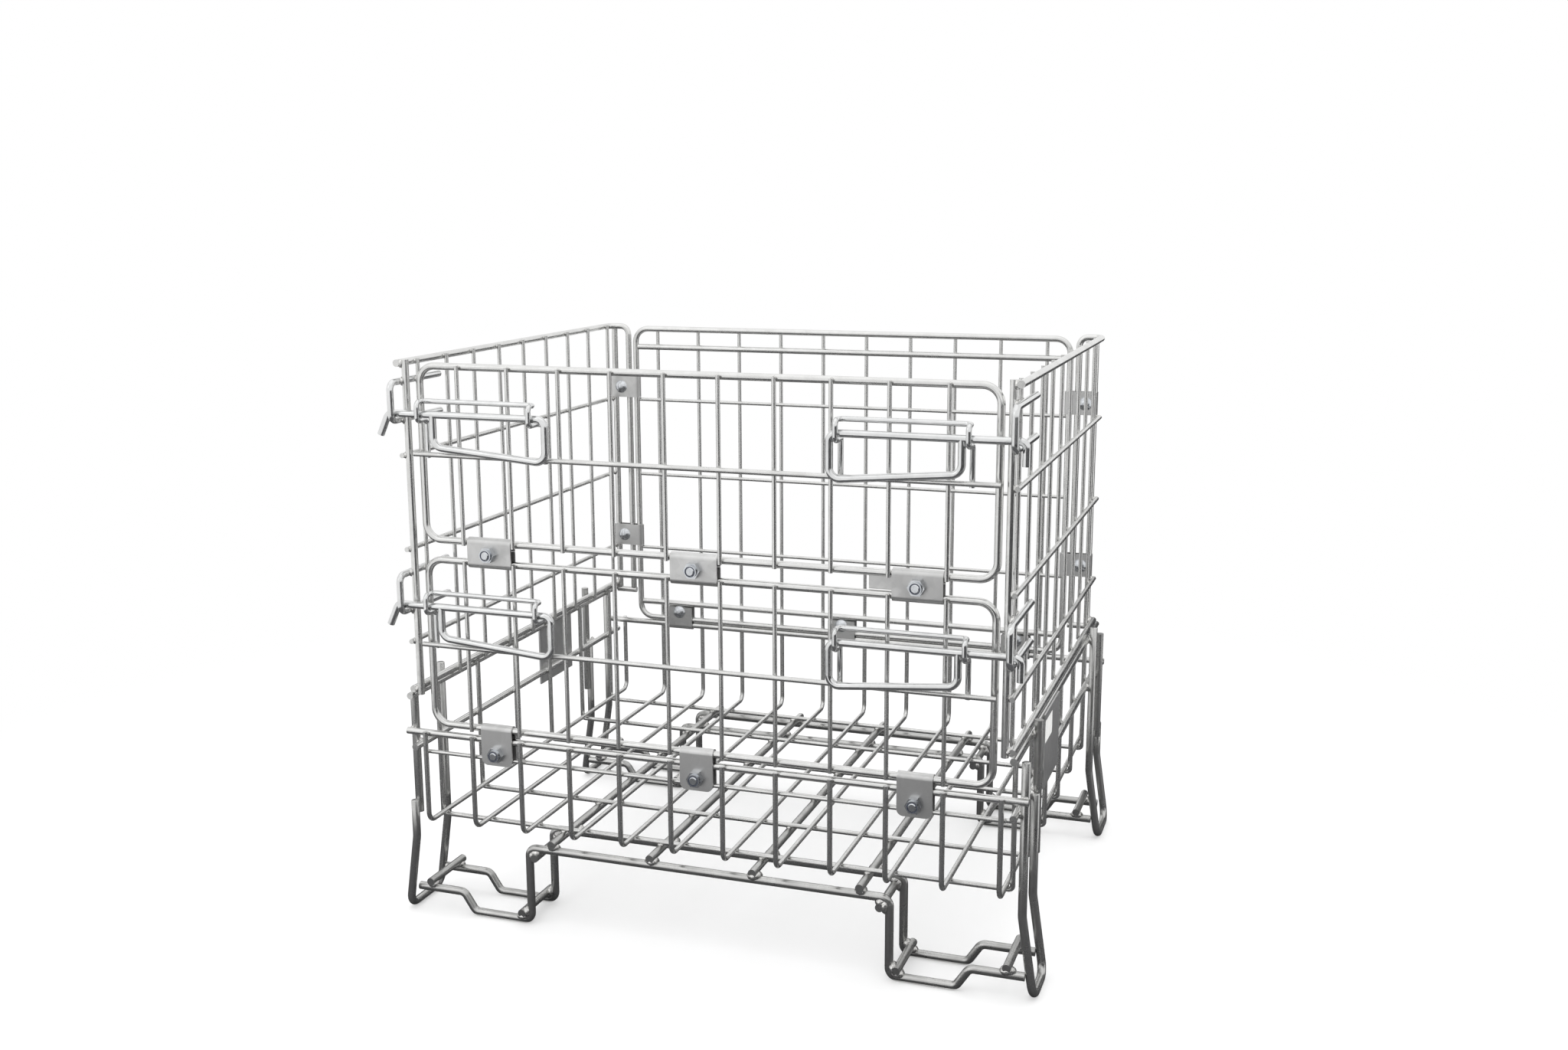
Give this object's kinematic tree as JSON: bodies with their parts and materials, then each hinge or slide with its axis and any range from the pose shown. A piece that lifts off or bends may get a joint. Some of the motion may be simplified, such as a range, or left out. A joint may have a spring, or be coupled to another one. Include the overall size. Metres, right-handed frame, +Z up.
{
  "type": "wire mesh pallet container",
  "caption": "Welded wire mesh pallet container on bent rod feet, with a hinged two-part front gate held by turning rod latches.",
  "frame": {"origin": "on the floor, under the middle of the outline", "axes": "+Z up, the gate faces -Y, +X to the right seen from the gate"},
  "size_m": [0.8, 0.6326, 0.697],
  "materials": {
    "rod_zinc": "bright zinc plate on drawn rod",
    "latch_zinc": "bright zinc plate on drawn rod",
    "sheet_zinc": "dull galvanised sheet",
    "bolt_zinc": "bright zinc plate"
  },
  "bodies": {
    "container": {"floor_long_wires": "rod_zinc", "floor_cross_wires": "rod_zinc", "front_base_rail": "rod_zinc", "rear_base_rail": "rod_zinc", "front_skirt_wire": "rod_zinc", "left_side_rails": "rod_zinc", "right_side_rails": "rod_zinc", "support_rods": "rod_zinc", "front_outer_runner": "rod_zinc", "front_inner_runner": "rod_zinc", "rear_outer_runner": "rod_zinc", "rear_inner_runner": "rod_zinc", "runner_cross_rods": "rod_zinc", "front_left_leg": "rod_zinc", "front_right_leg": "rod_zinc", "rear_left_leg": "rod_zinc", "rear_right_leg": "rod_zinc", "leg_posts": "rod_zinc", "left_label_plate": "sheet_zinc", "right_label_plate": "sheet_zinc", "left_top_rail": "rod_zinc", "left_posts": "rod_zinc", "left_bottom_rail": "rod_zinc", "left_upright_wires": "rod_zinc", "left_level_wires": "rod_zinc", "left_upper_catch": "latch_zinc", "left_lower_catch": "latch_zinc", "right_top_rail": "rod_zinc", "right_posts": "rod_zinc", "right_bottom_rail": "rod_zinc", "right_upright_wires": "rod_zinc", "right_level_wires": "rod_zinc", "right_upper_catch": "latch_zinc", "right_lower_catch": "latch_zinc", "back_frame": "rod_zinc", "back_bars": "rod_zinc", "back_upright_wires": "rod_zinc", "back_level_wires": "rod_zinc", "back_hinge_straps": "sheet_zinc", "back_strap_bolts": "bolt_zinc", "corner_straps": "sheet_zinc", "corner_strap_bolts": "bolt_zinc", "bottom_straps": "sheet_zinc", "bottom_strap_bolts": "bolt_zinc"},
    "lower_gate": {"lower_gate_frame": "rod_zinc", "lower_gate_wires": "rod_zinc", "lower_gate_level_wire": "rod_zinc", "lower_latch_guides": "rod_zinc"},
    "link": {"link_straps": "sheet_zinc", "link_strap_bolts": "bolt_zinc"},
    "upper_gate": {"upper_gate_frame": "rod_zinc", "upper_gate_wires": "rod_zinc", "upper_gate_level_wire": "rod_zinc", "upper_latch_guides": "rod_zinc"},
    "left_lower_latch": {"left_lower_latch": "latch_zinc"},
    "right_lower_latch": {"right_lower_latch": "latch_zinc"},
    "left_upper_latch": {"left_upper_latch": "latch_zinc"},
    "right_upper_latch": {"right_upper_latch": "latch_zinc"}
  },
  "joints": [
    {"name": "lower_gate_hinge", "type": "hinge", "parent": "container", "child": "lower_gate", "pos_m": [0, -0.27431, 0.2513], "axis": [1, 0, 0], "range_deg": [0, 95]},
    {"name": "link_hinge", "type": "hinge", "parent": "lower_gate", "child": "link", "pos_m": [0, -0.27431, 0.4575], "axis": [1, 0, 0], "range_deg": [0, 76.5]},
    {"name": "upper_gate_hinge", "type": "hinge", "parent": "link", "child": "upper_gate", "pos_m": [0, -0.27431, 0.482], "axis": [1, 0, 0], "range_deg": [0, 76.5]},
    {"name": "left_lower_latch_turn", "type": "hinge", "parent": "lower_gate", "child": "left_lower_latch", "pos_m": [0, -0.29431, 0.4043], "axis": [1, 0, 0], "range_deg": [-175, 0]},
    {"name": "right_lower_latch_turn", "type": "hinge", "parent": "lower_gate", "child": "right_lower_latch", "pos_m": [0, -0.29431, 0.4043], "axis": [1, 0, 0], "range_deg": [-175, 0]},
    {"name": "left_upper_latch_turn", "type": "hinge", "parent": "upper_gate", "child": "left_upper_latch", "pos_m": [0, -0.29431, 0.635], "axis": [1, 0, 0], "range_deg": [-175, 0]},
    {"name": "right_upper_latch_turn", "type": "hinge", "parent": "upper_gate", "child": "right_upper_latch", "pos_m": [0, -0.29431, 0.635], "axis": [1, 0, 0], "range_deg": [-175, 0]}
  ]
}
